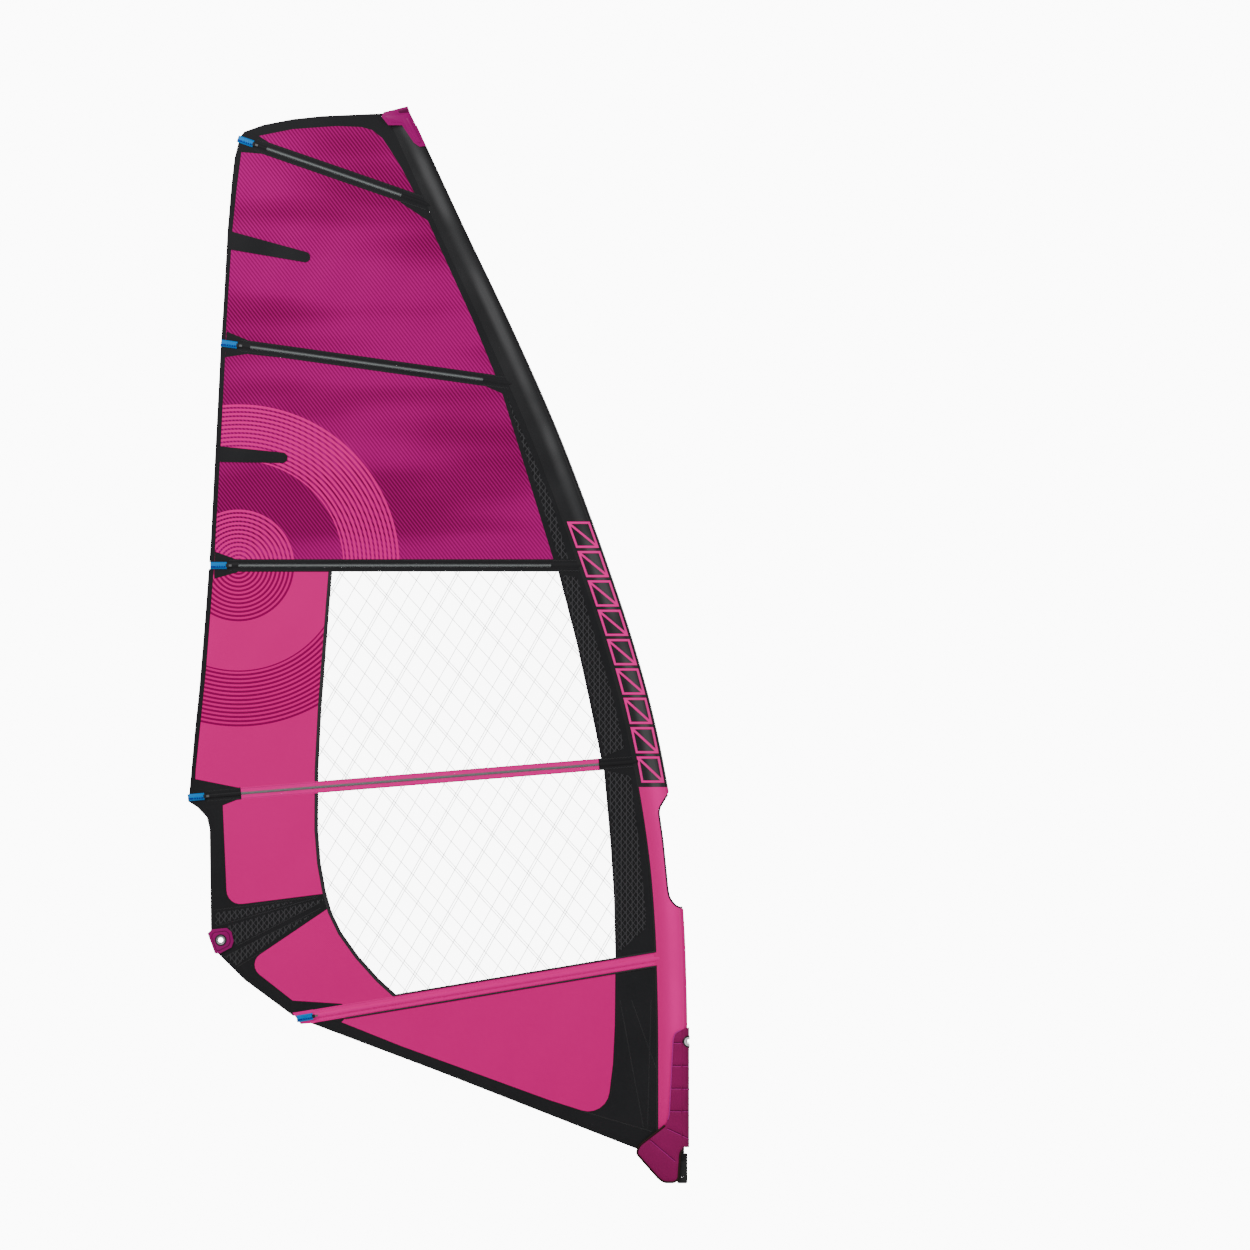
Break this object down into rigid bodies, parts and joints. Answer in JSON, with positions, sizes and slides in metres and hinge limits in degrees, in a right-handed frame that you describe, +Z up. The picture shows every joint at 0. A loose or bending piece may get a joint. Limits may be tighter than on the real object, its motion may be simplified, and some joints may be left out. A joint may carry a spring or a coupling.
{
  "type": "windsurf sail",
  "caption": "Windsurf sail with full battens, mast sleeve with a boom cut-out, screw batten tensioners, moulded head cap, clew ring and a pulley block at the tack.",
  "frame": {"origin": "on the mast axis at the mouth of the luff sleeve, level with the bottom of the tack fairing", "axes": "+X from the leech to the luff, +Z up the sail to the head, Y across the cloth; the starboard face looks to -Y"},
  "size_m": [1.9341, 0.0594, 4.148],
  "materials": {
    "black_cloth": "woven polyester laminate, satin",
    "pink_cloth": "woven polyester, satin",
    "magenta_film": "striped laminate film, satin",
    "window_film": "clear laminate with white threads",
    "pink_film": "laminate film with fine scrim, satin",
    "black_scrim": "laminate with diamond scrim, satin",
    "batten_carbon": "fibre composite, satin",
    "plum_plastic": "moulded thermoplastic, semi gloss",
    "plum_padding": "padded cloth over foam, soft sheen",
    "steel": "stainless, brushed",
    "eyelet_white": "moulded eyelet, gloss",
    "black_webbing": "woven webbing",
    "black_plastic": "glass-filled nylon, matt",
    "sheave_plastic": "acetal, smooth",
    "blue_plastic": "moulded nylon, semi gloss"
  },
  "bodies": {
    "sail": {"sleeve_head": "black_cloth", "sleeve_upper": "black_cloth", "sleeve_middle": "black_cloth", "sleeve_foot": "pink_cloth", "head_panel": "magenta_film", "upper_panel": "magenta_film", "mid_panel": "magenta_film", "upper_window": "window_film", "lower_window": "window_film", "upper_leech_panel": "pink_film", "lower_leech_panel": "pink_film", "clew_panel": "pink_film", "foot_panel": "pink_film", "head_band": "black_cloth", "leech_band_upper": "black_cloth", "leech_band_mid": "black_cloth", "leech_band_lower": "black_cloth", "clew_reinforcement": "black_scrim", "foot_band": "black_cloth", "tack_panel": "black_cloth", "window_seam": "black_cloth", "luff_panel_upper": "black_scrim", "luff_panel_mid": "black_scrim", "luff_panel_window": "black_scrim", "luff_panel_boom": "black_scrim", "mini_batten_pockets": "black_cloth", "mini_battens": "batten_carbon", "head_cap": "plum_plastic", "clew_patch": "plum_plastic", "clew_ring": "steel", "fairing_port": "plum_padding", "tack_eyelet": "eyelet_white", "tack_webbing": "black_webbing", "block_pin": "steel", "batten_pocket_1": "black_cloth", "tensioner_housing_1": "blue_plastic", "batten_pocket_2": "black_cloth", "tensioner_housing_2": "blue_plastic", "batten_pocket_3": "black_cloth", "tensioner_housing_3": "blue_plastic", "batten_pocket_4": "black_cloth", "tensioner_housing_4": "blue_plastic", "batten_pocket_5": "pink_cloth", "tensioner_housing_5": "blue_plastic"},
    "fairing_flap": {"fairing_starboard": "plum_padding"},
    "tack_block": {"block_body": "black_plastic", "block_axle": "steel"},
    "batten_1_body": {"batten_1": "batten_carbon"},
    "screw_1_body": {"tensioner_screw_1": "steel"},
    "batten_2_body": {"batten_2": "batten_carbon"},
    "screw_2_body": {"tensioner_screw_2": "steel"},
    "batten_3_body": {"batten_3": "batten_carbon"},
    "screw_3_body": {"tensioner_screw_3": "steel"},
    "batten_4_body": {"batten_4": "batten_carbon"},
    "screw_4_body": {"tensioner_screw_4": "steel"},
    "batten_5_body": {"batten_5": "batten_carbon"},
    "screw_5_body": {"tensioner_screw_5": "steel"},
    "sheave_1_body": {"sheave_1": "sheave_plastic"},
    "sheave_2_body": {"sheave_2": "sheave_plastic"},
    "sheave_3_body": {"sheave_3": "sheave_plastic"}
  },
  "joints": [
    {"name": "screw_1_turn", "type": "hinge", "parent": "sail", "child": "screw_1_body", "pos_m": [-1.711, 0, 4.021], "axis": [0.9449, 0, -0.3272], "range_deg": [-1466, 1466]},
    {"name": "batten_1_slide", "type": "slide", "parent": "sail", "child": "batten_1_body", "axis": [0.9449, 0, -0.3272], "range_m": [-0.005, 0.005]},
    {"name": "screw_2_turn", "type": "hinge", "parent": "sail", "child": "screw_2_body", "pos_m": [-1.776, 0, 3.234], "axis": [0.9904, 0, -0.1383], "range_deg": [-1466, 1466]},
    {"name": "batten_2_slide", "type": "slide", "parent": "sail", "child": "batten_2_body", "axis": [0.9904, 0, -0.1383], "range_m": [-0.005, 0.005]},
    {"name": "screw_3_turn", "type": "hinge", "parent": "sail", "child": "screw_3_body", "pos_m": [-1.817, 0, 2.377], "axis": [1, 0, 0], "range_deg": [-1466, 1466]},
    {"name": "batten_3_slide", "type": "slide", "parent": "sail", "child": "batten_3_body", "axis": [1, 0, 0], "range_m": [-0.005, 0.005]},
    {"name": "screw_4_turn", "type": "hinge", "parent": "sail", "child": "screw_4_body", "pos_m": [-1.903, 0, 1.483], "axis": [0.9967, 0, 0.0807], "range_deg": [-1466, 1466]},
    {"name": "batten_4_slide", "type": "slide", "parent": "sail", "child": "batten_4_body", "axis": [0.9967, 0, 0.0807], "range_m": [-0.005, 0.005]},
    {"name": "screw_5_turn", "type": "hinge", "parent": "sail", "child": "screw_5_body", "pos_m": [-1.484, 0, 0.631], "axis": [0.9863, 0, 0.165], "range_deg": [-1466, 1466]},
    {"name": "batten_5_slide", "type": "slide", "parent": "sail", "child": "batten_5_body", "axis": [0.9863, 0, 0.165], "range_m": [-0.005, 0.005]},
    {"name": "fairing_flap_open", "type": "hinge", "parent": "sail", "child": "fairing_flap", "pos_m": [-0.001, -0.028, 0.3], "axis": [0, 0, 1], "range_deg": [0, 110]},
    {"name": "tack_block_swing", "type": "hinge", "parent": "sail", "child": "tack_block", "pos_m": [0.001, 0, 0.1], "axis": [0, 1, 0], "range_deg": [-12, 12]},
    {"name": "sheave_1_turn", "type": "hinge", "parent": "tack_block", "child": "sheave_1_body", "pos_m": [0.001, -0.0095, 0.022], "axis": [0, 1, 0], "continuous": true},
    {"name": "sheave_2_turn", "type": "hinge", "parent": "tack_block", "child": "sheave_2_body", "pos_m": [0.001, 0, 0.022], "axis": [0, 1, 0], "continuous": true},
    {"name": "sheave_3_turn", "type": "hinge", "parent": "tack_block", "child": "sheave_3_body", "pos_m": [0.001, 0.0095, 0.022], "axis": [0, 1, 0], "continuous": true}
  ],
  "couplings": [
    {"joint": "screw_1_turn", "follows": "batten_1_slide", "rad_per_m": 5026.5},
    {"joint": "screw_2_turn", "follows": "batten_2_slide", "rad_per_m": 5026.5},
    {"joint": "screw_3_turn", "follows": "batten_3_slide", "rad_per_m": 5026.5},
    {"joint": "screw_4_turn", "follows": "batten_4_slide", "rad_per_m": 5026.5},
    {"joint": "screw_5_turn", "follows": "batten_5_slide", "rad_per_m": 5026.5}
  ]
}
